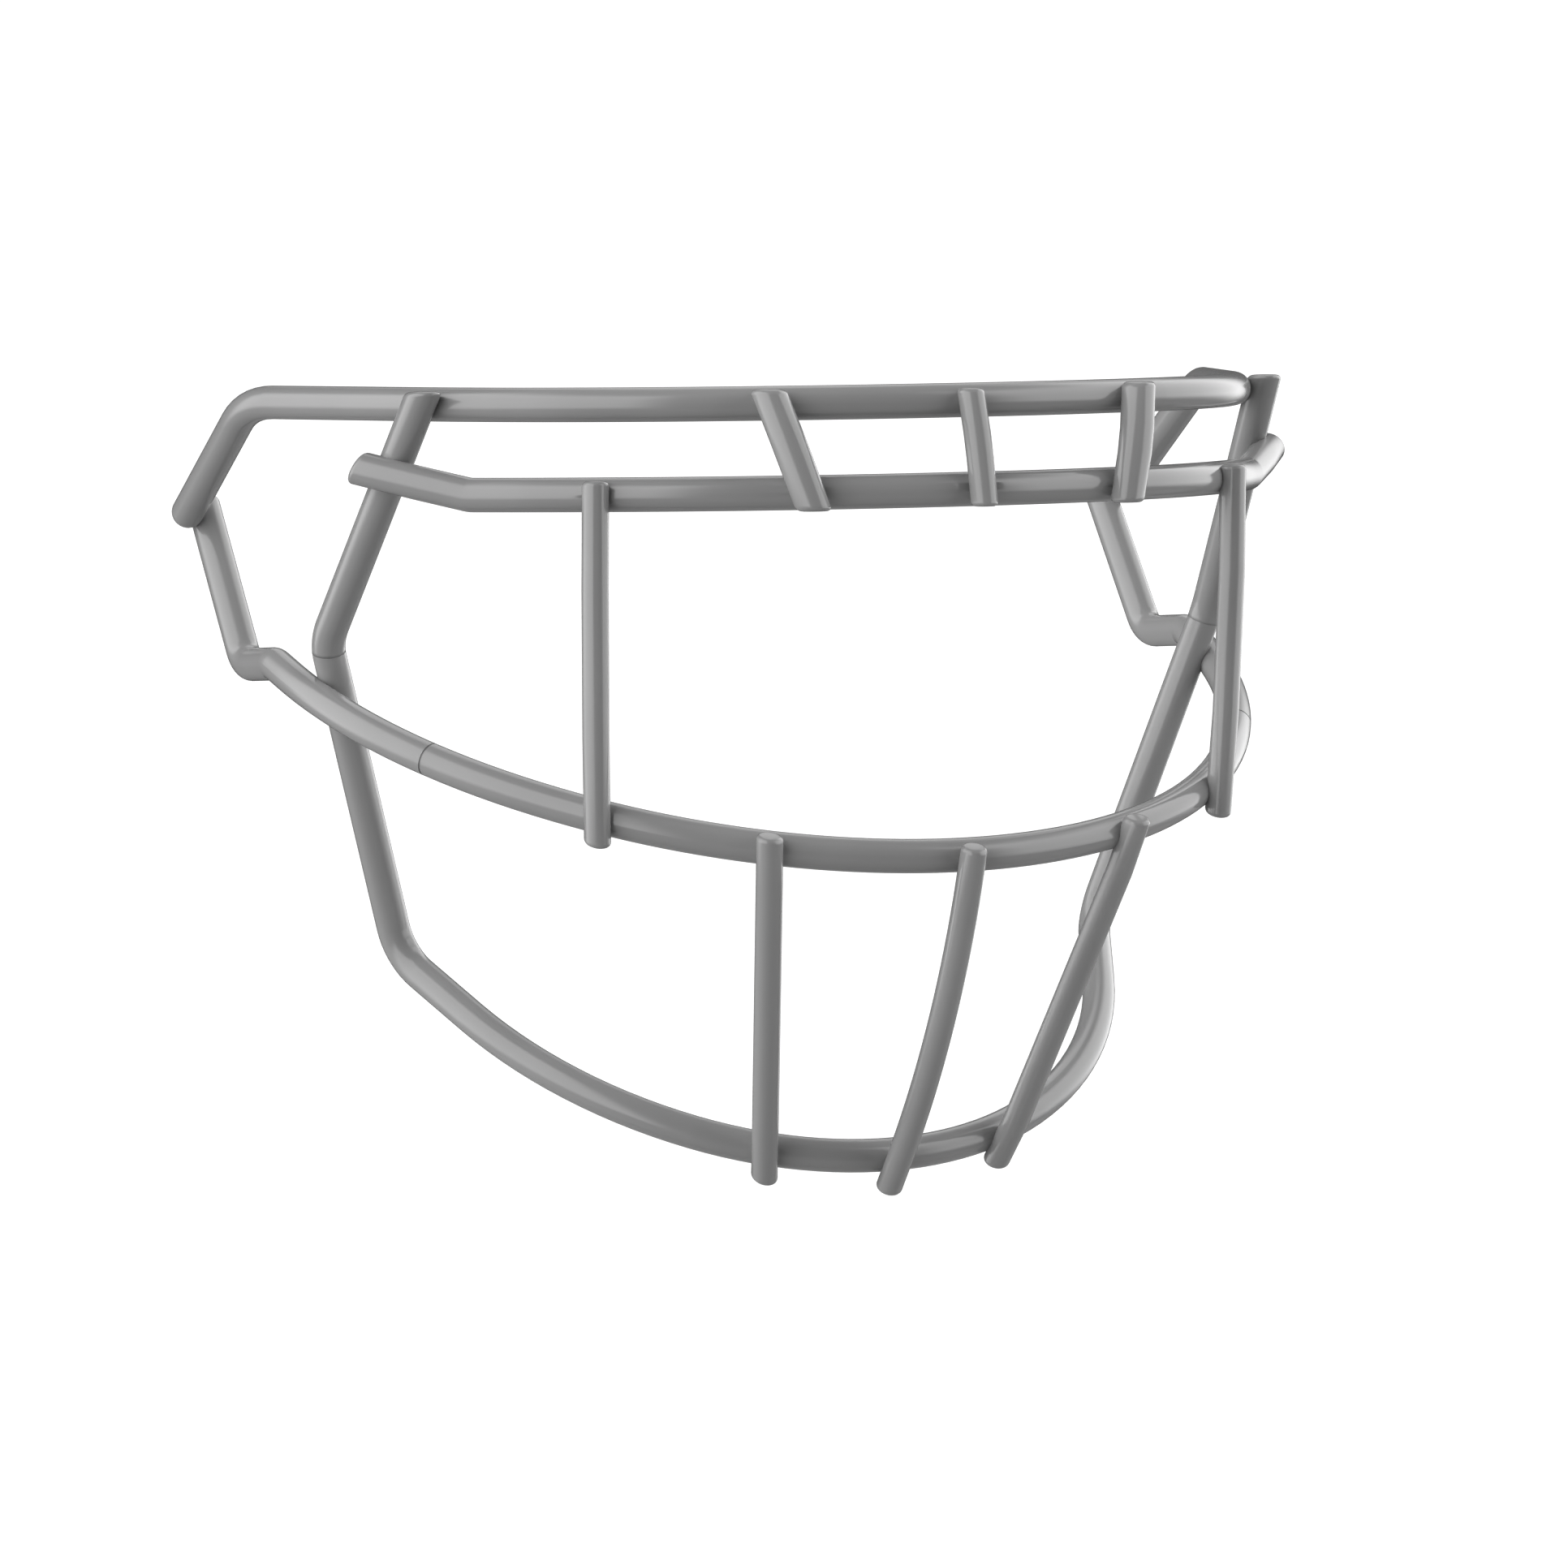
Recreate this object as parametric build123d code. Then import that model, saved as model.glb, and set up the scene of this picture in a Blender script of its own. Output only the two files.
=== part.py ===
from build123d import *
import math
import os

# Football helmet facemask: a welded cage of round steel wire with a coat on it.
# Lengths are in millimetres and angles in degrees. -Y is forward, +Z is up, and the
# cage is the same on both sides of X = 0. A heading is how far a bar has turned from
# straight across the face towards straight back.

# Wire stock, coat included
heavy_diameter = 6.6
light_diameter = 5.2
heavy_cut_rounding = 1.0
light_cut_rounding = 0.7
domed_rounding = 2.9

# How far two wires sink into each other where they are welded
set_down = 0.8
jaw_set_down = 1.4
leg_set_down = 1.8
return_set_down = 2.4

# Butt seams, a little under the wire's diameter: a fine groove at the jaw, next to none
# at the uprights, where the seam makes the last of the kink's turn
seam_thickness = 0.4
jaw_seam_relief = 0.12
upright_seam_relief = 0.03
upright_seam_turn = 9.0

# Top bar: forehead sweep, then a leg down and back at each temple. Its height is above
# the brow bar
top_reach = 67.6
top_height = 16.7
top_lean = -1.4
top_front_radius = 113.5
top_front_angle = 24.4
top_side_radius = 79.7
top_side_angle = 44.5
top_straight = 49.6
top_bend_radius = 20.0
top_leg_length = 43.3
top_leg_drop = 35.4
top_leg_heading = 89.7

# Brow bar: lower brow sweep, with a short return at each end that is bent to lie against
# the upright. Its height is above the jaw bar
brow_reach = 72.2
brow_height = 70.3
brow_lean = -1.8
brow_front_radius = 98.2
brow_front_angle = 37.6
brow_side_radius = 135.9
brow_side_angle = 12.0
brow_straight = 6.1
brow_bend_radius = 6.6
brow_return_rise = 10.7
brow_return_overhang = 4.5

# Jaw bar, and the side wire that carries its curve on past the seam
jaw_reach = 67.9
jaw_lean = 18.7
jaw_front_radius = 96.8
jaw_front_angle = 41.3
jaw_side_radius = 111.6
jaw_side_angle = 43.0
jaw_straight = 6.3
jaw_seam_heading = 61.4
side_lower_bend_radius = 4.2
side_run_back = 16.3
side_run_drop = 1.4
side_run_inset = 0.3
side_upper_bend_radius = 6.9
side_weld_inset = 0.5
side_overhang = 4.0

# Uprights, from the top bar down to a kink and a butt seam. The kink's height is above
# the jaw bar
upright_top_heading = 66.1
upright_overhang = 4.5
upright_kink_height = 38.5
upright_kink_radius = 13.6

# Chin bar: the sweep under the chin and both lower uprights. Its drop is below the jaw bar
chin_reach = 35.4
chin_drop = 62.3
chin_lean = 31.3
chin_front_radius = 70.0
chin_front_angle = 32.0
chin_side_radius = 81.2
chin_side_angle = 36.9
chin_straight = 21.8
chin_corner_radius = 10.0
lower_upright_rake_angle = 10.4

# Posts between the top bar and the brow bar
brow_post_top_across = 37.4
brow_post_bottom_across = 32.8
brow_post_top_overhang = 2.0
brow_post_bottom_overhang = 4.6
middle_top_overhang = 1.3
middle_bottom_overhang = 4.4

# Eye guards between the brow bar and the jaw bar
eye_guard_top_across = 65.6
eye_guard_bottom_across = 64.3
eye_guard_top_overhang = 3.0
eye_guard_bottom_overhang = 4.6

# Chin posts between the jaw bar and the chin bar; the middle one is bowed forward
chin_post_top_across = 37.1
chin_post_bottom_across = 24.5
chin_post_top_overhang = 5.2
chin_post_bottom_overhang = 4.2
middle_chin_top_overhang = 3.8
chin_post_bow_radius = 199.9

# Count of passes in which a straight wire settles against two curved bars
settling_passes = 12

# The shortest straight run that is worth making between two arcs
shortest_run = 0.001

ACROSS = Axis.X.direction
UP = Axis.Z.direction
BACK = Axis.Y.direction


def sine(angle):
    return math.sin(math.radians(angle))


def cosine(angle):
    return math.cos(math.radians(angle))


def heading_direction(heading, drop):
    """The direction of a run with a heading in plan and a drop below the horizontal."""
    level = ACROSS * cosine(heading) + BACK * sine(heading)
    return level * cosine(drop) - UP * sine(drop)


class Bow:
    """A centre line of two arcs, one after the other, in one plane."""

    def __init__(self, start, along, inward, front_radius, front_angle, side_radius):
        self.start = start
        self.along = along
        self.inward = inward
        self.front_radius = front_radius
        self.front_angle = front_angle
        self.side_radius = side_radius

    def point(self, heading):
        """The place on the arcs where the bar has this heading."""
        front = min(heading, self.front_angle)
        across = self.front_radius * sine(front)
        back = self.front_radius * (1 - cosine(front))
        across += self.side_radius * (sine(heading) - sine(front))
        back += self.side_radius * (cosine(front) - cosine(heading))
        return self.start + self.along * across + self.inward * back

    def direction(self, heading):
        """The way the bar runs where it has this heading."""
        return self.along * cosine(heading) + self.inward * sine(heading)

    def crossing(self, heading):
        """A place on the bar and the bar's direction there."""
        return self.point(heading), self.direction(heading)

    def crossing_at(self, across):
        """The same, by the distance from the middle of the face."""
        front_limit = self.front_radius * sine(self.front_angle)
        share = across / self.front_radius
        if across > front_limit:
            share = sine(self.front_angle) + (across - front_limit) / self.side_radius
        return self.crossing(math.degrees(math.asin(share)))

    def crossing_at_depth(self, depth):
        """The same, by the distance back from the front of the bar in its plane."""
        front_limit = self.front_radius * (1 - cosine(self.front_angle))
        share = 1 - depth / self.front_radius
        if depth > front_limit:
            share = cosine(self.front_angle) - (depth - front_limit) / self.side_radius
        return self.crossing(math.degrees(math.acos(share)))

    def arcs(self, first, last):
        """The arcs from one heading to another, each as three points."""
        bounds = [first, last]
        if first < self.front_angle < last:
            bounds = [first, self.front_angle, last]
        pairs = zip(bounds, bounds[1:])
        return [(self.point(a), self.point((a + b) / 2), self.point(b)) for a, b in pairs]


def half_bar(reach, height, lean, front_radius, front_angle, side_radius):
    """The arcs of half a bar, in a leaning plane, from the middle of the face."""
    start = UP * height - BACK * reach
    rear = BACK * cosine(lean) + UP * sine(lean)
    return Bow(start, ACROSS, rear, front_radius, front_angle, side_radius)


def bend(before, corner, after, radius):
    """Three points of the arc that rounds a corner between two straight runs."""
    into = (corner - before).normalized()
    away = (after - corner).normalized()
    half = into.get_angle(away) / 2
    trim = radius * sine(half) / cosine(half)
    middle = corner + (away - into).normalized() * (radius / cosine(half) - radius)
    return corner - into * trim, middle, corner + away * trim


def joined(runs):
    """The runs as given, with a straight run wherever there is a gap between two."""
    path = [runs[0]]
    for run in runs[1:]:
        if (run[0] - path[-1][-1]).length > shortest_run:
            path.append((path[-1][-1], run[0]))
        if len(run) > 1:
            path.append(run)
    return path


def flipped(point):
    return point - ACROSS * (2 * point.X)


def flipped_path(path):
    """The same path on the other side of the face, run the other way."""
    return [tuple(flipped(point) for point in reversed(run)) for run in reversed(path)]


def rod(path, diameter, first_rounding=0, last_rounding=0):
    """Round wire along a path, with its two cut ends rounded."""
    edges = [Line(*run) if len(run) == 2 else ThreePointArc(*run) for run in path]
    line = Wire([piece.edge() for piece in edges])
    section = Plane(origin=line @ 0, z_dir=line % 0) * Circle(diameter / 2)
    solid = sweep(section, path=line)
    for place, rounding in ((line @ 0, first_rounding), (line @ 1, last_rounding)):
        if rounding > 0:
            rim = solid.faces().sort_by_distance(place)[0].edges()
            solid = fillet(rim, rounding)
    return solid


def spacing(first_diameter, second_diameter, sunk=set_down):
    """The distance between centre lines where one wire has sunk into another."""
    return (first_diameter + second_diameter) / 2 - sunk


def seat(crossing, wire_direction, distance):
    """The centre of a wire that crosses a bar this far outside it, or inside if negative."""
    place, bar_direction = crossing
    away = bar_direction.cross(wire_direction).normalized()
    if away.X * place.X + away.Y * place.Y < 0:
        away = away * -1
    return place + away * distance


def laid_on(first, first_distance, second, second_distance):
    """Two points of a straight wire that lies against two bars."""
    start = first[0]
    end = second[0]
    for _ in range(settling_passes):
        direction = (end - start).normalized()
        start = seat(first, direction, first_distance)
        end = seat(second, direction, second_distance)
    return start, end


def laid_from(start, crossing, distance):
    """The point where a straight wire from a fixed start lies against a bar."""
    end = crossing[0]
    for _ in range(settling_passes):
        end = seat(crossing, (end - start).normalized(), distance)
    return end


def raked_from(start, rake, bar, distance):
    """The point where a straight wire that rakes forward from a fixed start lies against a bar."""
    depth = (start - bar.start).dot(bar.inward)
    end = bar.crossing_at_depth(depth)[0]
    for _ in range(settling_passes):
        end = seat(bar.crossing_at_depth(depth), (end - start).normalized(), distance)
        depth += start.Y - (end.Z - start.Z) * sine(rake) / cosine(rake) - end.Y
    return end


def extended(start, end, before, after):
    """A straight run made longer at both ends."""
    direction = (end - start).normalized()
    return start - direction * before, end + direction * after


def at_height(start, end, height):
    """The point at this height on the line through two points."""
    return start + (end - start) * ((height - start.Z) / (end.Z - start.Z))


def raised_from(start, rise, line, distance):
    """The point where a straight wire that climbs from a fixed start lies against another."""
    direction = (line[1] - line[0]).normalized()
    height = start.Z
    end = at_height(*line, height)
    for _ in range(settling_passes):
        end = seat((at_height(*line, height), direction), (end - start).normalized(), distance)
        level = math.hypot(end.X - start.X, end.Y - start.Y)
        height += start.Z + level * sine(rise) / cosine(rise) - end.Z
    return end


heavy_spacing = spacing(heavy_diameter, heavy_diameter)
light_spacing = spacing(heavy_diameter, light_diameter)
jaw_spacing = spacing(heavy_diameter, heavy_diameter, jaw_set_down)
jaw_post_spacing = spacing(heavy_diameter, light_diameter, jaw_set_down)
leg_spacing = spacing(heavy_diameter, heavy_diameter, leg_set_down)
return_spacing = spacing(heavy_diameter, heavy_diameter, return_set_down)
seam_half = seam_thickness / 2

jaw = half_bar(jaw_reach, 0, jaw_lean, jaw_front_radius, jaw_front_angle, jaw_side_radius)
brow = half_bar(
    brow_reach, brow_height, brow_lean, brow_front_radius, brow_front_angle, brow_side_radius
)
top = half_bar(
    top_reach, brow_height + top_height,
    top_lean, top_front_radius, top_front_angle, top_side_radius,
)
chin = half_bar(
    chin_reach, -chin_drop, chin_lean, chin_front_radius, chin_front_angle, chin_side_radius
)

# Top bar
top_last = top_front_angle + top_side_angle
top_corner = top.point(top_last) + top.direction(top_last) * top_straight
top_leg = heading_direction(top_leg_heading, top_leg_drop)
top_end = top_corner + top_leg * top_leg_length
top_bend = bend(top.point(top_last), top_corner, top_end, top_bend_radius)
top_half = joined(top.arcs(0, top_last) + [top_bend, (top_end,)])

# Jaw bar and side wire
seam_turn = math.degrees(seam_half / jaw_side_radius)
jaw_half = jaw.arcs(0, jaw_seam_heading - seam_turn)
jaw_seam = jaw.arcs(jaw_seam_heading - seam_turn, jaw_seam_heading + seam_turn)
jaw_last = jaw_front_angle + jaw_side_angle
side_lower_corner = jaw.point(jaw_last) + jaw.direction(jaw_last) * jaw_straight
side_run = BACK * side_run_back - UP * side_run_drop - ACROSS * side_run_inset
side_upper_corner = side_lower_corner + side_run
leg_crossing = (top_end - top_leg * side_weld_inset, top_leg)
side_seat = laid_from(side_upper_corner, leg_crossing, -leg_spacing)
side_end = extended(side_upper_corner, side_seat, 0, side_overhang)[1]
side_lower_bend = bend(
    jaw.point(jaw_last), side_lower_corner, side_upper_corner, side_lower_bend_radius
)
side_upper_bend = bend(
    side_lower_corner, side_upper_corner, side_end, side_upper_bend_radius
)
side_path = joined(
    jaw.arcs(jaw_seam_heading + seam_turn, jaw_last)
    + [side_lower_bend, side_upper_bend, (side_end,)]
)

# Uprights: the lower run rises from the chin bar's corner along the inside of the jaw line
# to the kink, and the upper run goes on from there along the outside of the top bar
chin_last = chin_front_angle + chin_side_angle
chin_corner = chin.point(chin_last) + chin.direction(chin_last) * chin_straight
lower_seat = raked_from(chin_corner, lower_upright_rake_angle, jaw, -jaw_spacing)
kink = at_height(chin_corner, lower_seat, upright_kink_height)
upper_seat = laid_from(kink, top.crossing(upright_top_heading), heavy_spacing)
upright_end = extended(kink, upper_seat, 0, upright_overhang)[1]

# The kink turns from the upper run to the lower one in two arcs, the bend and the seam,
# and both runs point at the kink's corner
upper_direction = (kink - upright_end).normalized()
lower_direction = (chin_corner - kink).normalized()
kink_turn = upper_direction.get_angle(lower_direction)
bend_turn = kink_turn - upright_seam_turn
kink_side = (lower_direction - upper_direction * cosine(kink_turn)).normalized()
upright_seam_radius = heavy_diameter / 2 + seam_thickness
kink_bow = Bow(
    kink, upper_direction, kink_side, upright_kink_radius, bend_turn, upright_seam_radius
)
kink_sweep = kink_bow.point(kink_turn) - kink
after_kink = kink_sweep.dot(kink_side) / sine(kink_turn)
before_kink = kink_sweep.dot(upper_direction) - after_kink * cosine(kink_turn)
kink_bow.start = kink - upper_direction * before_kink
kink_bend = kink_bow.arcs(0, bend_turn)[0]
upright_seam = kink_bow.arcs(bend_turn, kink_turn)
upright_path = joined([kink_bend[::-1], (upright_end,)])
lower_head = kink_bow.point(kink_turn)

# Chin bar
chin_bend = bend(chin.point(chin_last), chin_corner, kink, chin_corner_radius)
chin_half = joined(chin.arcs(0, chin_last) + [chin_bend, (lower_head,)])

# Brow bar, whose returns lie against the outside of the uprights
brow_last = brow_front_angle + brow_side_angle
brow_corner = brow.point(brow_last) + brow.direction(brow_last) * brow_straight
return_seat = raised_from(
    brow_corner, brow_return_rise, (kink, upright_end), return_spacing
)
brow_end = extended(brow_corner, return_seat, 0, brow_return_overhang)[1]
brow_bend = bend(brow.point(brow_last), brow_corner, brow_end, brow_bend_radius)
brow_half = joined(brow.arcs(0, brow_last) + [brow_bend, (brow_end,)])

# Straight posts and guards, each laid on the outside of two bars
brow_post_seats = laid_on(
    top.crossing_at(brow_post_top_across), heavy_spacing,
    brow.crossing_at(brow_post_bottom_across), heavy_spacing,
)
brow_post_overhangs = (brow_post_top_overhang, brow_post_bottom_overhang)
brow_post = extended(*brow_post_seats, *brow_post_overhangs)
middle_post_seats = laid_on(top.crossing(0), light_spacing, brow.crossing(0), light_spacing)
middle_post = extended(*middle_post_seats, middle_top_overhang, middle_bottom_overhang)
eye_guard_seats = laid_on(
    brow.crossing_at(eye_guard_top_across), light_spacing,
    jaw.crossing_at(eye_guard_bottom_across), light_spacing,
)
eye_guard = extended(*eye_guard_seats, eye_guard_top_overhang, eye_guard_bottom_overhang)
chin_post_seats = laid_on(
    jaw.crossing_at(chin_post_top_across), jaw_post_spacing,
    chin.crossing_at(chin_post_bottom_across), light_spacing,
)
chin_post_overhangs = (chin_post_top_overhang, chin_post_bottom_overhang)
chin_post = extended(*chin_post_seats, *chin_post_overhangs)

# Middle chin post: an arc in the plane X = 0 that passes both bars at the same spacing
chord = chin.start - jaw.start
chord_middle = jaw.start + chord / 2
chord_forward = chord.cross(ACROSS).normalized()
centre_depth = math.sqrt((chin_post_bow_radius - light_spacing) ** 2 - chord.dot(chord) / 4)
bow_centre = chord_middle - chord_forward * centre_depth
upper_angle = math.degrees(math.atan2(chord.length / 2, centre_depth))
upper_angle += math.degrees(middle_chin_top_overhang / chin_post_bow_radius)
lower_angle = math.degrees(math.atan2(chord.length / 2, centre_depth))
lower_angle += math.degrees(chin_post_bottom_overhang / chin_post_bow_radius)


def bowed(angle):
    """The place on the bowed post at this angle below its middle."""
    outward = chord_forward * cosine(angle) + chord.normalized() * sine(angle)
    return bow_centre + outward * chin_post_bow_radius


middle_chin_post = (bowed(-upper_angle), bowed((lower_angle - upper_angle) / 2), bowed(lower_angle))

# Whole wires, before they are set down into each other
cut = {"first_rounding": heavy_cut_rounding, "last_rounding": heavy_cut_rounding}
light_cut = {"first_rounding": light_cut_rounding, "last_rounding": light_cut_rounding}
domed = {"first_rounding": domed_rounding, "last_rounding": domed_rounding}
whole = {
    "top_bar": rod(flipped_path(top_half) + top_half, heavy_diameter, **domed),
    "brow_bar": rod(flipped_path(brow_half) + brow_half, heavy_diameter, **domed),
    "jaw_bar": rod(flipped_path(jaw_half) + jaw_half, heavy_diameter),
    "chin_bar": rod(flipped_path(chin_half) + chin_half, heavy_diameter),
    "brow_post_centre": rod([middle_post], light_diameter, **light_cut),
    "chin_post_centre": rod([middle_chin_post], light_diameter, **light_cut),
    "side_wire_right": rod(side_path, heavy_diameter, last_rounding=heavy_cut_rounding),
    "upright_right": rod(upright_path, heavy_diameter, last_rounding=heavy_cut_rounding),
    "brow_post_right": rod([brow_post], heavy_diameter, **cut),
    "eye_guard_right": rod([eye_guard], light_diameter, **light_cut),
    "chin_post_right": rod([chin_post], light_diameter, **light_cut),
}
for name in [key for key in whole if key.endswith("_right")]:
    whole[name.replace("_right", "_left")] = mirror(whole[name], about=Plane.YZ)

# Groups of crossing welds: the bar and each wire that is welded to it
crossings = {
    "top_bar_post_welds": (
        "top_bar", ("brow_post_left", "brow_post_centre", "brow_post_right")
    ),
    "top_bar_upright_welds": ("top_bar", ("upright_left", "upright_right")),
    "top_bar_side_welds": ("top_bar", ("side_wire_left", "side_wire_right")),
    "brow_bar_post_welds": (
        "brow_bar", ("brow_post_left", "brow_post_centre", "brow_post_right")
    ),
    "brow_bar_upright_welds": ("brow_bar", ("upright_left", "upright_right")),
    "brow_bar_eye_guard_welds": ("brow_bar", ("eye_guard_left", "eye_guard_right")),
    "jaw_bar_eye_guard_welds": ("jaw_bar", ("eye_guard_left", "eye_guard_right")),
    "jaw_bar_chin_post_welds": (
        "jaw_bar", ("chin_post_left", "chin_post_centre", "chin_post_right")
    ),
    "chin_bar_post_welds": (
        "chin_bar", ("chin_post_left", "chin_post_centre", "chin_post_right")
    ),
    "lower_upright_side_welds": ("chin_bar", ("side_wire_left", "side_wire_right")),
}

# Each weld is the lens where two wires overlap, and both wires give that lens up
nodes = dict(whole)
for group, (bar, wires) in crossings.items():
    nodes[group] = Compound(children=[whole[bar] & whole[wire] for wire in wires])
    for wire in wires:
        nodes[bar] = nodes[bar] - whole[wire]
        nodes[wire] = nodes[wire] - whole[bar]

# Butt seams
jaw_seam_disc = rod(jaw_seam, heavy_diameter - 2 * jaw_seam_relief)
upright_seam_disc = rod(upright_seam, heavy_diameter - 2 * upright_seam_relief)
seams = {"jaw_butt_welds": jaw_seam_disc, "upright_butt_welds": upright_seam_disc}
for name, disc in seams.items():
    nodes[name] = Compound(children=[disc, mirror(disc, about=Plane.YZ)])

# The origin is the middle of the underside of the box round the whole cage
box = Compound(children=[copy_of for copy_of in whole.values()]).bounding_box()
lift = Vector(0, -(box.min.Y + box.max.Y) / 2, -box.min.Z)

os.makedirs("parts", exist_ok=True)
for name, shape in nodes.items():
    export_step(Pos(lift) * shape, f"parts/{name}.step")
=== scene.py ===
"""Looks for a welded football helmet facemask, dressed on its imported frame.

Every length of wire and every weld is a node of the frame. This script gives them their coat,
cuts the straight wires' ends parallel to the bars that they are welded to, and adds the floor,
the studio light and the camera.
All lengths are in metres. -Y is forward, out of the face, and +Z is up.
"""

import logging
import math
from dataclasses import dataclass, field
from enum import Enum
from typing import Any, Union

import bmesh
import bpy
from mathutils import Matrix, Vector

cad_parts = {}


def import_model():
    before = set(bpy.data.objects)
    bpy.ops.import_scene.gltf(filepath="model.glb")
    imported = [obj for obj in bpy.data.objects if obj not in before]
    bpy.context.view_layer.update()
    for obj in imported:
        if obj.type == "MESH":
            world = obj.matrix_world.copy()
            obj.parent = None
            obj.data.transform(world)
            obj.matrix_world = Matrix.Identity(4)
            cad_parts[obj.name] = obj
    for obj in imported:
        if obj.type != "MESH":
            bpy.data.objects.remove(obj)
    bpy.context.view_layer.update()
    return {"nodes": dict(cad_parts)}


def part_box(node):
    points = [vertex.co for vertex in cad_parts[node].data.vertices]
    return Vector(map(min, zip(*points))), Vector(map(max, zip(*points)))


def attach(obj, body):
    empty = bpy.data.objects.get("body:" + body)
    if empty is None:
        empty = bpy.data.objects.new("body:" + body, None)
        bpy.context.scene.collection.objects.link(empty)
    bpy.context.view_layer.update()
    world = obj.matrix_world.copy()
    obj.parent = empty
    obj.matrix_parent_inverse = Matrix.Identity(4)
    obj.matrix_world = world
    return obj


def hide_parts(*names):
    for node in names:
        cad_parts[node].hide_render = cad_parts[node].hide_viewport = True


log = logging.getLogger("facemask")

MM = 0.001
BODY = "root"
PHOTO_SIDE = 1932
SENSOR_WIDTH = 36.0
JOIN_REACH = 0.001 * MM
SHARP_FROM = math.radians(40)
QUARTER_TURN = math.radians(90)
NOISE_MIDDLE = 0.5

Nodes = dict[str, bpy.types.Object]
Colour = tuple[float, float, float, float]


def grey(level: float) -> Colour:
    """An opaque grey, from its level."""
    return (level, level, level, 1.0)


WHITE = grey(1.0)


# Shader maths


class Value:
    """A number that varies over a surface, as the output socket that carries it."""

    def __init__(self, tree: "Tree", socket: bpy.types.NodeSocket) -> None:
        """Wraps a socket.

        Args:
            tree: The node tree that the socket's node is in.
            socket: The output socket.
        """
        self.tree = tree
        self.socket = socket

    def _join(self, operation: str, first: Any, second: Any) -> "Value":
        """Adds one Math node.

        Args:
            operation: The node's operation.
            first: Its first value, a number or a Value.
            second: Its second value, a number or a Value.

        Returns:
            The node's output.
        """
        node = self.tree.node(
            "ShaderNodeMath", {"operation": operation}, {0: first, 1: second}
        )
        return Value(self.tree, node.outputs[0])

    def __add__(self, other: Any) -> "Value":
        """This plus other."""
        return self._join("ADD", self, other)

    def __radd__(self, other: Any) -> "Value":
        """Other plus this."""
        return self._join("ADD", other, self)

    def __sub__(self, other: Any) -> "Value":
        """This less other."""
        return self._join("SUBTRACT", self, other)

    def __rsub__(self, other: Any) -> "Value":
        """Other less this."""
        return self._join("SUBTRACT", other, self)

    def __mul__(self, other: Any) -> "Value":
        """This times other."""
        return self._join("MULTIPLY", self, other)

    def __rmul__(self, other: Any) -> "Value":
        """Other times this."""
        return self._join("MULTIPLY", other, self)

    def __truediv__(self, other: Any) -> "Value":
        """This divided by other."""
        return self._join("DIVIDE", self, other)

    def __rtruediv__(self, other: Any) -> "Value":
        """Other divided by this."""
        return self._join("DIVIDE", other, self)

    def angle_from(self, other: Any) -> "Value":
        """The angle whose tangent is this over other, all the way round, in radians."""
        return self._join("ARCTAN2", self, other)

    def rise(self) -> "Value":
        """The angle whose sine is this, in radians."""
        node = self.tree.node("ShaderNodeMath", {"operation": "ARCSINE"}, {0: self})
        return Value(self.tree, node.outputs[0])

    def step(self, low: float, high: float) -> "Value":
        """How far this is from low to high, eased at both.

        Args:
            low: Where the result is 0.
            high: Where the result is 1.

        Returns:
            The result, from 0 to 1.
        """
        node = self.tree.node(
            "ShaderNodeMapRange",
            {"interpolation_type": "SMOOTHSTEP"},
            {"Value": self, "From Min": low, "From Max": high},
        )
        return Value(self.tree, node.outputs["Result"])

    def within(self, low: float, high: float, edge: float) -> "Value":
        """1 between two levels and 0 outside them.

        Args:
            low: The lower level.
            high: The upper level.
            edge: How wide the soft edge at each level is.

        Returns:
            The result, from 0 to 1.
        """
        half = edge / 2
        return self.step(low - half, low + half) * (1 - self.step(high - half, high + half))


class Tree:
    """A node tree of a material or of the sky."""

    def __init__(self, owner: Union[bpy.types.Material, bpy.types.World]) -> None:
        """Takes over the owner's tree and empties it.

        Args:
            owner: The material or the world.
        """
        owner.use_nodes = True
        self.tree = owner.node_tree
        self.tree.nodes.clear()

    def node(
        self, kind: str, settings: dict[str, Any], inputs: dict[Union[str, int], Any]
    ) -> bpy.types.Node:
        """Adds a node.

        Args:
            kind: The node's type.
            settings: Its own settings, set first.
            inputs: What its sockets hold, each a number, a tuple, a Value or a socket.

        Returns:
            The node.
        """
        node = self.tree.nodes.new(kind)
        for name, setting in settings.items():
            setattr(node, name, setting)
        for name, content in inputs.items():
            self.fill(node, name, content)
        return node

    def fill(self, node: bpy.types.Node, name: Union[str, int], content: Any) -> None:
        """Sets or links one input socket.

        Args:
            node: The socket's node.
            name: The socket's name or number.
            content: A number, a tuple, a Value or a socket.
        """
        if isinstance(content, Value):
            content = content.socket
        if isinstance(content, bpy.types.NodeSocket):
            self.tree.links.new(content, node.inputs[name])
        else:
            node.inputs[name].default_value = content


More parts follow.
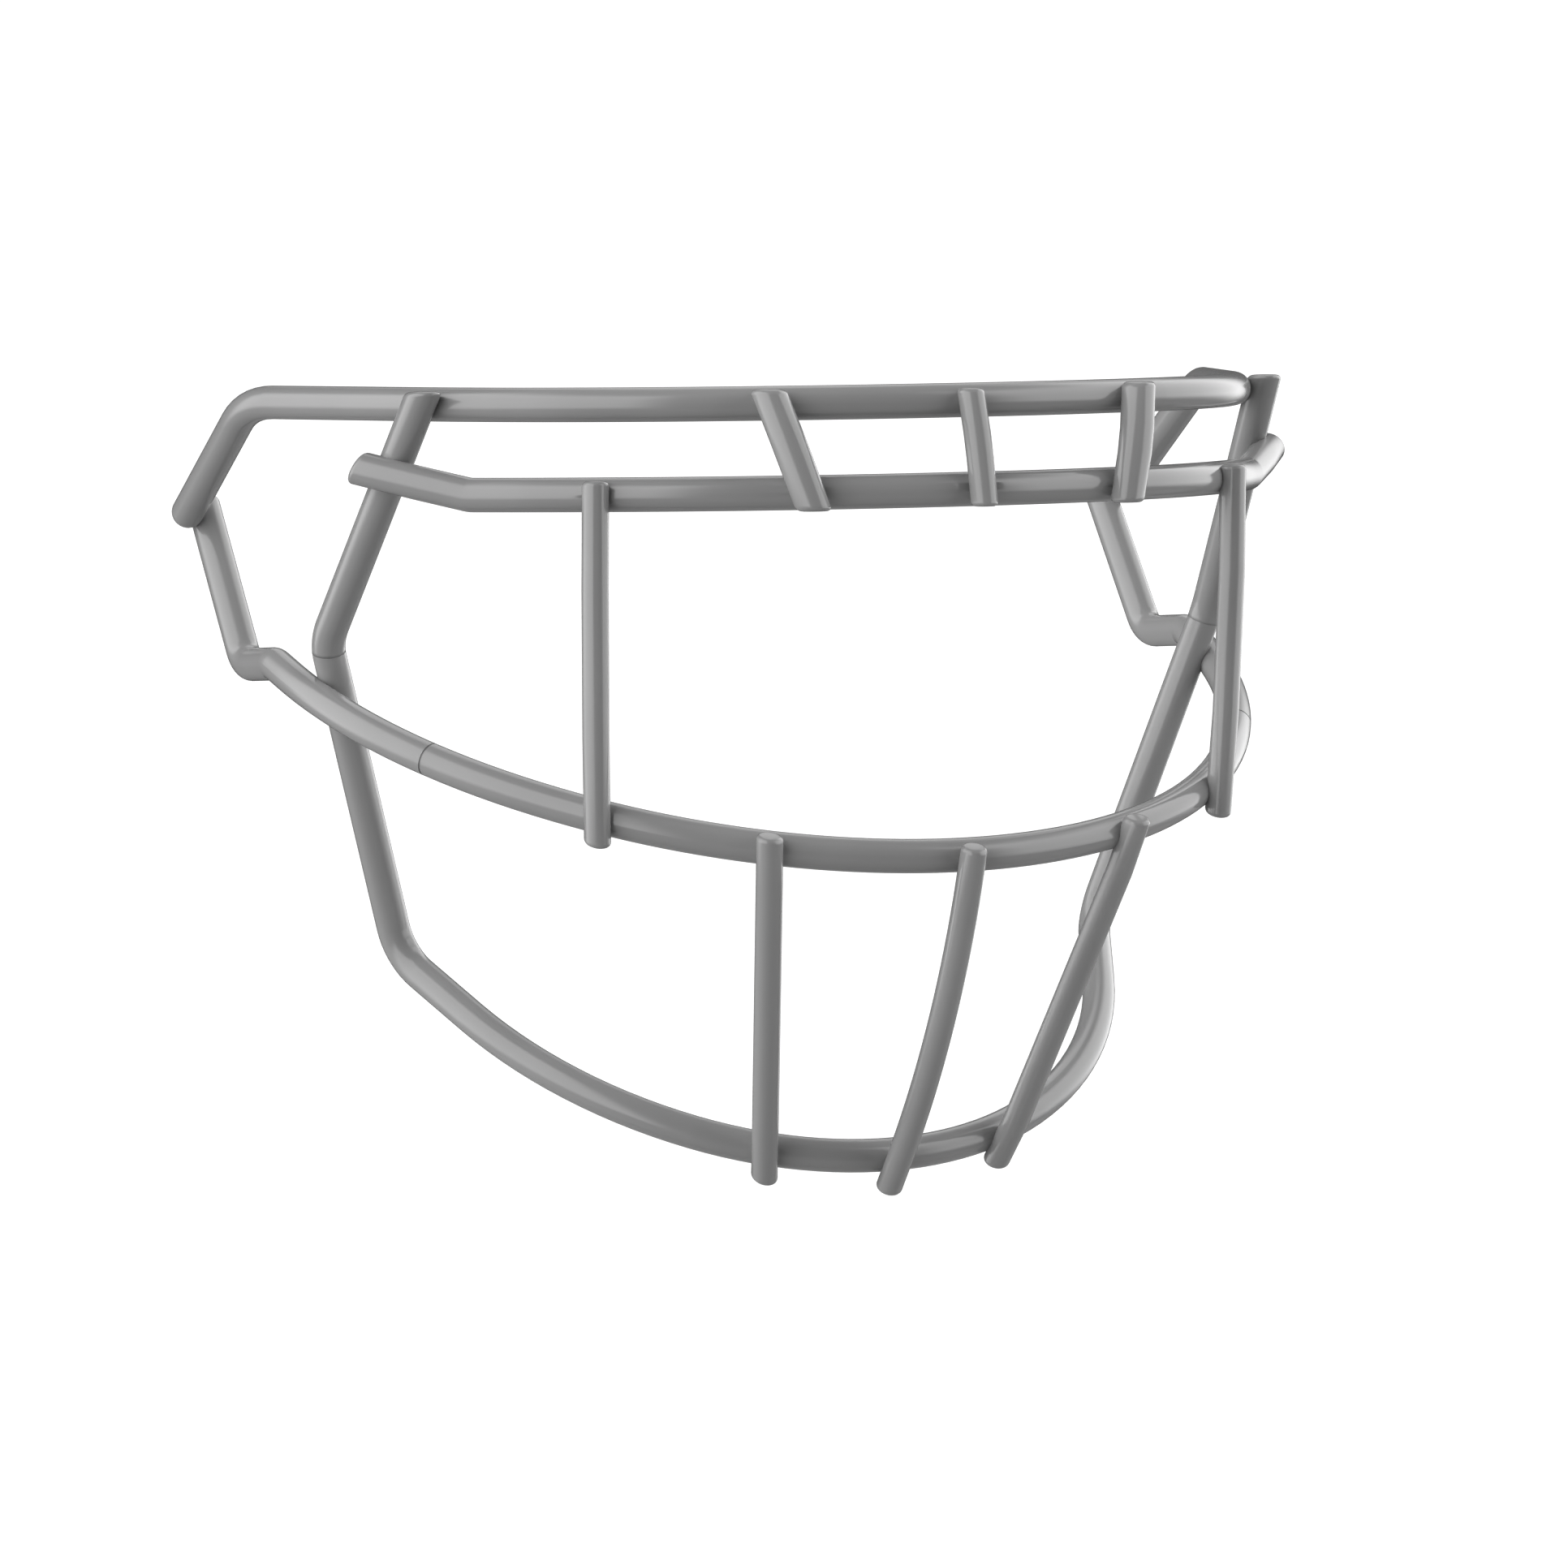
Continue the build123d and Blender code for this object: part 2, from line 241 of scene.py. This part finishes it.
class Shader(Tree):
    """One material's node tree, with a Principled shader at its end."""

    def __init__(self, name: str) -> None:
        """Makes an empty material.

        Args:
            name: The material's name.
        """
        self.material = bpy.data.materials.new(name)
        super().__init__(self.material)
        self.surface = self.node("ShaderNodeBsdfPrincipled", {}, {})
        self.node("ShaderNodeOutputMaterial", {}, {"Surface": self.surface.outputs["BSDF"]})
        self.place = self.node("ShaderNodeTexCoord", {}, {}).outputs["Object"]

    def set(self, name: str, content: Any) -> None:
        """Sets one socket of the Principled shader."""
        self.fill(self.surface, name, content)

    def noise(self, size: float, detail: float = 2.0, roughness: float = 0.5) -> Value:
        """Cloudy noise, NOISE_MIDDLE on average.

        Args:
            size: The size of one cloud, in metres.
            detail: How many finer layers it has.
            roughness: How strong the finer layers are.

        Returns:
            The noise.
        """
        node = self.node(
            "ShaderNodeTexNoise",
            {},
            {"Vector": self.place, "Scale": 1 / size, "Detail": detail, "Roughness": roughness},
        )
        return Value(self, node.outputs[0])

    def specks(self, spacing: float) -> Value:
        """The distance to the nearest of many scattered points, in spacings.

        Args:
            spacing: The usual distance between two points, in metres.

        Returns:
            The distance.
        """
        node = self.node(
            "ShaderNodeTexVoronoi",
            {"feature": "F1"},
            {"Vector": self.place, "Scale": 1 / spacing},
        )
        return Value(self, node.outputs["Distance"])

    def blend(self, mask: Value, first: Any, second: Any) -> bpy.types.NodeSocket:
        """A colour between two others.

        Args:
            mask: 0 for the first and 1 for the second.
            first: A colour or a colour socket.
            second: A colour or a colour socket.

        Returns:
            The blended colour's socket.
        """
        node = self.node(
            "ShaderNodeMix", {"data_type": "RGBA"}, {0: mask, 6: first, 7: second}
        )
        return node.outputs[2]

    def bump(self, height: Value, depth: float, under: Any = None) -> bpy.types.NodeSocket:
        """A surface normal that follows a height.

        Args:
            height: The height, from 0 to 1.
            depth: How deep a height of 1 is, in metres.
            under: A normal that this one is laid on.

        Returns:
            The normal's socket.
        """
        inputs = {"Height": height, "Distance": depth, "Strength": 1.0}
        if under is not None:
            inputs["Normal"] = under
        return self.node("ShaderNodeBump", {}, inputs).outputs["Normal"]


# Finishes


@dataclass(frozen=True)
class CoatFinish:
    """A semi-gloss grey coat that has flowed out smooth, but for a faint orange peel."""

    thick_grey: float = 0.222
    thin_grey: float = 0.235
    cloud_size: float = 30 * MM
    cloud_detail: float = 3.0
    cloud_low: float = 0.35
    cloud_high: float = 0.65
    roughness: float = 0.13
    roughness_spread: float = 0.04
    smear_size: float = 9 * MM
    peel_size: float = 2.2 * MM
    peel_detail: float = 1.0
    peel_depth: float = 0.0012 * MM
    grain_size: float = 0.3 * MM
    grain_depth: float = 0.0002 * MM
    speck_spacing: float = 5 * MM
    speck_reach: float = 0.03
    speck_lightness: float = 1.1
    speck_strength: float = 0.4
    speck_roughness: float = 0.08
    index: float = 1.5

    def build(self, name: str) -> bpy.types.Material:
        """Makes the material.

        Args:
            name: The material's name.

        Returns:
            The material.
        """
        shader = Shader(name)
        cloud = shader.noise(self.cloud_size, self.cloud_detail)
        speck = 1 - shader.specks(self.speck_spacing).step(
            self.speck_reach / 2, self.speck_reach
        )
        coat = shader.blend(
            cloud.step(self.cloud_low, self.cloud_high), grey(self.thick_grey), grey(self.thin_grey)
        )
        dust = grey(self.thin_grey * self.speck_lightness)
        shader.set("Base Color", shader.blend(speck * self.speck_strength, coat, dust))
        smear = (shader.noise(self.smear_size) - NOISE_MIDDLE) * self.roughness_spread
        shader.set("Roughness", self.roughness + smear + speck * self.speck_roughness)
        peel = shader.bump(shader.noise(self.peel_size, self.peel_detail), self.peel_depth)
        shader.set("Normal", shader.bump(shader.noise(self.grain_size), self.grain_depth, peel))
        shader.set("IOR", self.index)
        return shader.material


@dataclass(frozen=True)
class WeldShadeFinish:
    """The coat on the welds, a little rougher, with painted shade: greys darker than the coat's, for
    the shade in the jaw's butt-weld groove and at the wire crossings.
    """

    # Painted shade: both greys are darker than the coat's, standing in for the shade in the jaw's
    # butt-weld groove and at the wire crossings.
    dark_grey: float = 0.10
    light_grey: float = 0.14
    bead_size: float = 0.6 * MM
    bead_detail: float = 3.0
    bead_sharpness: float = 0.6
    bead_depth: float = 0.01 * MM
    roughness: float = 0.35
    roughness_spread: float = 0.2

    def build(self, name: str) -> bpy.types.Material:
        """Makes the material.

        Args:
            name: The material's name.

        Returns:
            The material.
        """
        shader = Shader(name)
        bead = shader.noise(self.bead_size, self.bead_detail, self.bead_sharpness)
        shader.set("Base Color", shader.blend(bead, grey(self.dark_grey), grey(self.light_grey)))
        shader.set("Roughness", self.roughness + (bead - NOISE_MIDDLE) * self.roughness_spread)
        shader.set("Normal", shader.bump(bead, self.bead_depth))
        return shader.material


@dataclass(frozen=True)
class FloorFinish:
    """A matt white sheet that is lit from below, so that it keeps next to no shadow."""

    dark_grey: float = 0.23
    light_grey: float = 0.25
    mottle_size: float = 0.3
    roughness: float = 0.9
    glow: float = 0.90

    def build(self, name: str) -> bpy.types.Material:
        """Makes the material.

        Args:
            name: The material's name.

        Returns:
            The material.
        """
        shader = Shader(name)
        mottle = shader.noise(self.mottle_size)
        shader.set("Base Color", shader.blend(mottle, grey(self.dark_grey), grey(self.light_grey)))
        shader.set("Roughness", self.roughness)
        shader.set("Specular IOR Level", 0.0)
        shader.set("Emission Color", WHITE)
        shader.set("Emission Strength", self.glow)
        return shader.material


# The cage's wires


@dataclass(frozen=True)
class Stock:
    """One gauge of wire, over its coat, and how far its cut ends are rounded."""

    diameter: float
    rounding: float


class End(Enum):
    """An end of a wire, by the way out to it."""

    UPPER = (0.0, 0.0, 1.0)
    LOWER = (0.0, 0.0, -1.0)
    RIGHT = (1.0, 0.0, 0.0)
    LEFT = (-1.0, 0.0, 0.0)


def section_middle(mesh: bpy.types.Mesh, way: Vector, level: float) -> Vector:
    """Roughly the middle of the outline where a plane cuts a wire.

    The outline's corners are spaced unevenly round the wire, so their plain mean lies up to
    0.8 mm beside the true middle.

    Args:
        mesh: The wire's mesh.
        way: The plane's normal.
        level: The plane's distance from the origin.

    Returns:
        The mean of the outline's corners.
    """
    probe = bmesh.new()
    probe.from_mesh(mesh)
    bmesh.ops.remove_doubles(probe, verts=probe.verts, dist=JOIN_REACH)
    cut = bmesh.ops.bisect_plane(
        probe, geom=[*probe.verts, *probe.edges, *probe.faces], plane_co=way * level, plane_no=way
    )
    corners = [item.co.copy() for item in cut["geom_cut"] if isinstance(item, bmesh.types.BMVert)]
    probe.free()
    return sum(corners, Vector()) / len(corners)


@dataclass(frozen=True)
class Stretch:
    """A straight stretch of a wire near one of its ends, clear of bends and welds.

    It runs between two shares of the way from the far side of the wire's box to that end.
    """

    start_share: float
    end_share: float

    def line(self, wire: bpy.types.Object, end: End) -> tuple[Vector, Vector]:
        """The wire's line along this stretch, as near its centre as section_middle gives.

        Args:
            wire: The wire's node.
            end: The end that the stretch is near.

        Returns:
            The line's point at the stretch's end, and the way on towards the wire's end.
        """
        way = Vector(end.value)
        reaches = [vertex.co.dot(way) for vertex in wire.data.vertices]
        low, high = min(reaches), max(reaches)
        start, stop = (
            section_middle(wire.data, way, low + (high - low) * share)
            for share in (self.start_share, self.end_share)
        )
        return stop, (stop - start).normalized()


@dataclass(frozen=True)
class Trim:
    """How one end of a wire is cut: parallel to the bar that it is welded to.

    The wire is measured on a straight stretch, and carried on along that line to the cut.
    """

    end: End
    stretch: Stretch
    lean: float = 0.0
    extra: float = 0.0

    def normal(self, axis: Vector, nodes: Nodes) -> Vector:
        """The cut's normal, which is that of the bar's plane.

        Args:
            axis: The way out to the end.
            nodes: The frame's nodes by name; not used here.

        Returns:
            The normal, pointing out of the wire.
        """
        lean = math.radians(self.lean)
        normal = Vector((0.0, -math.sin(lean), math.cos(lean)))
        return normal if normal.dot(axis) > 0 else -normal


@dataclass(frozen=True)
class ReturnTrim(Trim):
    """How a return of the brow bar is cut: along the upright that it lies on."""

    upright: str = field(kw_only=True)
    upright_stretch: Stretch = field(kw_only=True)

    def normal(self, axis: Vector, nodes: Nodes) -> Vector:
        """The cut's normal, square to the upright.

        Args:
            axis: The way out to the end.
            nodes: The frame's nodes by name.

        Returns:
            The normal, pointing out of the wire.
        """
        run = self.upright_stretch.line(nodes[self.upright], End.UPPER)[1]
        return (axis - run * axis.dot(run)).normalized()


@dataclass(frozen=True)
class TrimmedWire:
    """A wire whose ends are cut anew, each in its own plane and with a rounded rim."""

    node: str
    stock: Stock
    trims: tuple[Trim, ...]
    rings: int = 5

    def build(self, nodes: Nodes, coat: bpy.types.Material) -> bpy.types.Object:
        """Makes the wire from its node's shape.

        Args:
            nodes: The frame's nodes by name.
            coat: The wire's material.

        Returns:
            The wire, which stands for its node.
        """
        source = nodes[self.node]
        body = bmesh.new()
        body.from_mesh(source.data)
        bmesh.ops.remove_doubles(body, verts=body.verts, dist=JOIN_REACH)
        for trim in self.trims:
            self._cut(body, source, trim, nodes)
        bmesh.ops.recalc_face_normals(body, faces=body.faces)
        mesh = bpy.data.meshes.new(f"{self.node}_trimmed")
        body.to_mesh(mesh)
        body.free()
        for face in mesh.polygons:
            face.use_smooth = True
        mesh.set_sharp_from_angle(angle=SHARP_FROM)
        piece = bpy.data.objects.new(f"{self.node}_trimmed", mesh)
        bpy.context.scene.collection.objects.link(piece)
        paint(piece, coat)
        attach(piece, BODY)
        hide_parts(self.node)
        log.info("trimmed wire: %s, %d ends cut", self.node, len(self.trims))
        return piece

    def _cut(
        self, body: bmesh.types.BMesh, source: bpy.types.Object, trim: Trim, nodes: Nodes
    ) -> None:
        """Takes one end off and carries the wire on to its cut.

        Args:
            body: The wire's mesh so far.
            source: The wire's node.
            trim: How this end is cut.
            nodes: The frame's nodes by name.
        """
        start, axis = trim.stretch.line(source, trim.end)
        normal = trim.normal(axis, nodes)
        way = Vector(trim.end.value)
        reach = max(v.co.dot(axis) for v in source.data.vertices if v.co.dot(way) > start.dot(way))
        rounding = self.stock.rounding
        base = start + axis * (reach - start.dot(axis) + trim.extra - rounding)
        opened = bmesh.ops.bisect_plane(
            body,
            geom=[*body.verts, *body.edges, *body.faces],
            plane_co=start,
            plane_no=axis,
            clear_outer=True,
        )
        rim = [item for item in opened["geom_cut"] if isinstance(item, bmesh.types.BMEdge)]
        for ring in range(self.rings + 1):
            turn = QUARTER_TURN * ring / self.rings
            radius = self.stock.diameter / 2 - rounding * (1 - math.cos(turn))
            middle = base + axis * rounding * math.sin(turn)
            rim = self._add_ring(body, rim, middle, axis, normal, radius)
        bmesh.ops.edgeloop_fill(body, edges=rim)

    @staticmethod
    def _add_ring(
        body: bmesh.types.BMesh,
        rim: list[bmesh.types.BMEdge],
        middle: Vector,
        axis: Vector,
        normal: Vector,
        radius: float,
    ) -> list[bmesh.types.BMEdge]:
        """Adds one more ring of the wire's surface, in a plane parallel to the cut.

        Args:
            body: The wire's mesh.
            rim: The edges of the last ring.
            middle: The ring's middle, on the line that the end is carried on along.
            axis: The way out to the end.
            normal: The cut's normal.
            radius: The wire's radius at this ring.

        Returns:
            The edges of the new ring.
        """
        grown = bmesh.ops.extrude_edge_only(body, edges=rim)["geom"]
        for vertex in (item for item in grown if isinstance(item, bmesh.types.BMVert)):
            out = vertex.co - middle
            out = (out - axis * out.dot(axis)).normalized() * radius
            vertex.co = middle + out - axis * (out.dot(normal) / axis.dot(normal))
        return [item for item in grown if isinstance(item, bmesh.types.BMEdge)]


@dataclass
class Wirework:
    """Lengths of one stock of wire that are bent and cut for one place in the cage."""

    title: str
    wires: tuple[str, ...]
    stock: Stock
    coat: bpy.types.Material
    trims: tuple[Trim, ...] = ()

    def dress(self, nodes: Nodes) -> None:
        """Puts the coat on every length, and cuts the ends that are trimmed.

        Args:
            nodes: The frame's nodes by name.
        """
        for wire in self.wires:
            paint(nodes[wire], self.coat)
            low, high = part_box(wire)
            log.info(
                "%s: %s, %.1f mm wire, %.0f mm across its box",
                self.title, wire, self.stock.diameter / MM, (high - low).length / MM,
            )
            if self.trims:
                TrimmedWire(wire, self.stock, self.trims).build(nodes, self.coat)


@dataclass
class Weldwork:
    """The welds of one kind, all of which the coat covers."""

    title: str
    groups: tuple[str, ...]
    finish: bpy.types.Material

    def dress(self, nodes: Nodes) -> None:
        """Puts the finish on every weld.

        Args:
            nodes: The frame's nodes by name.
        """
        for group in self.groups:
            paint(nodes[group], self.finish)
            log.info("%s: %s", self.title, group)


@dataclass
class Cage:
    """The whole facemask, as its makers weld it up."""

    heavy: Stock = Stock(diameter=6.6 * MM, rounding=1.2 * MM)
    light: Stock = Stock(diameter=5.2 * MM, rounding=1.0 * MM)
    top_lean: float = -1.4
    brow_lean: float = -1.8
    jaw_lean: float = 18.7
    chin_lean: float = 31.3
    brow_post_middle: Stretch = Stretch(0.4, 0.6)
    eye_guard_middle: Stretch = Stretch(0.4, 0.7)
    chin_post_end: Stretch = Stretch(0.75, 0.85)
    upright_middle: Stretch = Stretch(0.25, 0.5)
    brow_return: Stretch = Stretch(0.94, 0.955)
    left_return_extra: float = 2.0 * MM
    right_return_extra: float = -0.5 * MM
    coat: CoatFinish = field(default_factory=CoatFinish)
    weld_shade: WeldShadeFinish = field(default_factory=WeldShadeFinish)

    def dress(self, nodes: Nodes) -> None:
        """Dresses every sub-assembly.

        Args:
            nodes: The frame's nodes by name.
        """
        coat = self.coat.build("grey_coat")
        # The welds' material is painted shade: darker than the wires' coat, in the jaw's butt-weld
        # groove and at the wire crossings.
        weld_shade = self.weld_shade.build("weld_painted_shade")
        for part in (*self.brow(coat), *self.face(coat), *self.welds(nodes, coat, weld_shade)):
            part.dress(nodes)

    def brow(self, coat: bpy.types.Material) -> list[Wirework]:
        """The wires over the brow.

        Args:
            coat: Their material.

        Returns:
            The two bars and the posts between them.
        """
        posts = (
            Trim(End.UPPER, self.brow_post_middle, self.top_lean),
            Trim(End.LOWER, self.brow_post_middle, self.brow_lean),
        )
        returns = (
            self.return_trim(End.LEFT, "upright_left", self.left_return_extra),
            self.return_trim(End.RIGHT, "upright_right", self.right_return_extra),
        )
        return [
            Wirework("top rail", ("top_bar",), self.heavy, coat),
            Wirework("brow rail", ("brow_bar",), self.heavy, coat, returns),
            Wirework(
                "outer brow posts", ("brow_post_left", "brow_post_right"), self.heavy, coat, posts
            ),
            Wirework("middle brow post", ("brow_post_centre",), self.light, coat, posts),
        ]

    def face(self, coat: bpy.types.Material) -> list[Wirework]:
        """The wires round the eyes, the jaw and the chin.

        Args:
            coat: Their material.

        Returns:
            The wires.
        """
        guards = (
            Trim(End.UPPER, self.eye_guard_middle, self.brow_lean),
            Trim(End.LOWER, self.eye_guard_middle, self.jaw_lean),
        )
        heads = (Trim(End.UPPER, self.upright_middle, self.top_lean),)
        posts = (
            Trim(End.UPPER, self.chin_post_end, self.jaw_lean),
            Trim(End.LOWER, self.chin_post_end, self.chin_lean),
        )
        post_names = ("chin_post_left", "chin_post_centre", "chin_post_right")
        return [
            Wirework("eye guards", ("eye_guard_left", "eye_guard_right"), self.light, coat, guards),
            Wirework("uprights", ("upright_left", "upright_right"), self.heavy, coat, heads),
            Wirework("jaw line", ("jaw_bar", "side_wire_left", "side_wire_right"), self.heavy, coat),
            Wirework("chin line", ("chin_bar",), self.heavy, coat),
            Wirework("chin posts", post_names, self.light, coat, posts),
        ]

    def return_trim(self, end: End, upright: str, extra: float) -> ReturnTrim:
        """How one return of the brow bar is cut.

        Args:
            end: Which end of the brow bar it is.
            upright: The node of the upright that it lies on.
            extra: How much longer it is than its node.

        Returns:
            The cut.
        """
        return ReturnTrim(
            end,
            self.brow_return,
            extra=extra,
            upright=upright,
            upright_stretch=self.upright_middle,
        )

    @staticmethod
    def welds(
        nodes: Nodes, coat: bpy.types.Material, weld_shade: bpy.types.Material
    ) -> list[Weldwork]:
        """The welds, by the way that they show under the coat.

        Args:
            nodes: The frame's nodes by name.
            coat: The finish of a weld that the coat covers smoothly.
            weld_shade: The darker finish of painted shade, for the jaw's butt weld in its groove and
                for the crossing welds.

        Returns:
            The welds.
        """
        crossings = sorted(n for n in nodes if n.endswith("_welds") and "_butt_" not in n)
        # The jaw butt weld and the crossing welds get painted shade; the upright butt welds keep the
        # plain coat.
        return [
            Weldwork("jaw butt welds", ("jaw_butt_welds",), weld_shade),
            Weldwork("upright butt welds", ("upright_butt_welds",), coat),
            Weldwork("crossing welds", tuple(crossings), weld_shade),
        ]


def paint(piece: bpy.types.Object, material: bpy.types.Material) -> None:
    """Gives a piece one material.

    Args:
        piece: The piece.
        material: The material.
    """
    piece.data.materials.clear()
    piece.data.materials.append(material)
    for face in piece.data.polygons:
        face.material_index = 0


# The studio


@dataclass(frozen=True)
class SoftWall:
    """A large white wall beside the cage, as a soft-edged patch of the sky.

    Its bounds are in degrees: the azimuth from the front of the cage towards the picture's
    right, and the elevation above the horizon.
    """

    title: str
    near: float
    far: float
    bottom: float
    top: float
    brightness: float
    edge: float = 18.0

    def shine(self, azimuth: Value, elevation: Value) -> Value:
        """The light that it sends from a direction.

        Args:
            azimuth: The direction's azimuth, in degrees.
            elevation: The direction's elevation, in degrees.

        Returns:
            The light.
        """
        across = azimuth.within(self.near, self.far, self.edge)
        upward = elevation.within(self.bottom, self.top, self.edge)
        log.info("soft wall: %s", self.title)
        return across * upward * self.brightness


@dataclass(frozen=True)
class Sky:
    """The light round the cage: three soft walls, a dim room, and white behind the cage."""

    front: float = 0.06
    ceiling: float = 0.32
    ground: float = 0.50
    ground_from: float = -23.0
    ceiling_from: float = 55.0
    blur: float = 14.0
    backdrop: float = 1.05
    walls: tuple[SoftWall, ...] = (
        SoftWall("left", near=-138.0, far=-42.0, bottom=-20.0, top=59.0, brightness=2.8),
        SoftWall("right", near=35.0, far=131.0, bottom=-14.0, top=52.0, brightness=2.75),
        SoftWall("back", near=138.0, far=170.0, bottom=28.0, top=62.0, brightness=1.3, edge=14.0),
    )

    def build(self) -> bpy.types.World:
        """Makes the sky.

        Returns:
            The world.
        """
        world = bpy.data.worlds.new("studio_sky")
        tree = Tree(world)
        way = tree.node("ShaderNodeTexCoord", {}, {}).outputs["Generated"]
        parts = tree.node("ShaderNodeSeparateXYZ", {}, {0: way})
        across, back, up = (Value(tree, socket) for socket in parts.outputs)
        degrees = math.degrees(1)
        azimuth = across.angle_from(back * -1) * degrees
        elevation = up.rise() * degrees
        over = elevation.step(self.ceiling_from - self.blur, self.ceiling_from + self.blur)
        under = 1 - elevation.step(self.ground_from - self.blur, self.ground_from + self.blur)
        light = self.front + over * (self.ceiling - self.front)
        light = light + under * (self.ground - self.front)
        for wall in self.walls:
            light = light + wall.shine(azimuth, elevation)
        seen = Value(tree, tree.node("ShaderNodeLightPath", {}, {}).outputs["Is Camera Ray"])
        strength = light * (1 - seen) + seen * self.backdrop
        shade = tree.node("ShaderNodeBackground", {}, {"Color": WHITE, "Strength": strength})
        tree.node("ShaderNodeOutputWorld", {}, {"Surface": shade.outputs["Background"]})
        return world


@dataclass
class Studio:
    """The floor and the light round the cage."""

    floor_side: float = 60.0
    floor_cells: int = 8
    floor_finish: FloorFinish = field(default_factory=FloorFinish)
    sky: Sky = field(default_factory=Sky)

    def build_floor(self) -> bpy.types.Object:
        """Makes the floor.

        Returns:
            The floor.
        """
        mesh = bpy.data.meshes.new("studio_floor")
        grid = bmesh.new()
        bmesh.ops.create_grid(
            grid, x_segments=self.floor_cells, y_segments=self.floor_cells, size=self.floor_side / 2
        )
        grid.to_mesh(mesh)
        grid.free()
        floor = bpy.data.objects.new("studio_floor", mesh)
        floor.visible_diffuse = False
        floor.visible_glossy = False
        bpy.context.scene.collection.objects.link(floor)
        paint(floor, self.floor_finish.build("studio_white"))
        log.info("studio floor: %.0f m square", self.floor_side)
        return floor

    def build_light(self) -> None:
        """Puts the sky over the scene."""
        bpy.context.scene.world = self.sky.build()


def bearing(azimuth: float, elevation: float) -> Vector:
    """The way from the cage towards a place round it.

    Args:
        azimuth: 0 in front of the cage and 90 at the picture's right, in degrees.
        elevation: Above the horizon, in degrees.

    Returns:
        The direction, of length 1.
    """
    a, e = math.radians(azimuth), math.radians(elevation)
    return Vector((math.sin(a) * math.cos(e), -math.cos(a) * math.cos(e), math.sin(e)))


@dataclass
class Viewpoint:
    """The camera that took the photograph, found by matching the wires' outlines."""

    azimuth: float = -25.4140
    elevation: float = 5.5878
    distance: float = 1.468415
    focal_pixels: float = 9080.88
    target: Vector = field(
        default_factory=lambda: Vector((-5.1233, 4.2049, 77.9141)) * MM
    )

    def build(self) -> bpy.types.Object:
        """Makes the camera and makes it the scene's own.

        Returns:
            The camera.
        """
        data = bpy.data.cameras.new("photo_camera")
        data.sensor_width = SENSOR_WIDTH
        data.lens = self.focal_pixels / PHOTO_SIDE * SENSOR_WIDTH
        camera = bpy.data.objects.new("photo_camera", data)
        back = bearing(self.azimuth, self.elevation)
        camera.location = self.target + back * self.distance
        camera.rotation_mode = "QUATERNION"
        camera.rotation_quaternion = back.to_track_quat("Z", "Y")
        bpy.context.scene.collection.objects.link(camera)
        bpy.context.scene.camera = camera
        return camera


def main() -> None:
    """Dresses the cage and builds the studio and the camera round it."""
    logging.basicConfig(level=logging.INFO, format="%(message)s")
    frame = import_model()
    Cage().dress(frame["nodes"])
    studio = Studio()
    studio.build_floor()
    studio.build_light()
    Viewpoint().build()
    bpy.context.scene.view_settings.view_transform = "Standard"


if __name__ == "__main__":
    main()
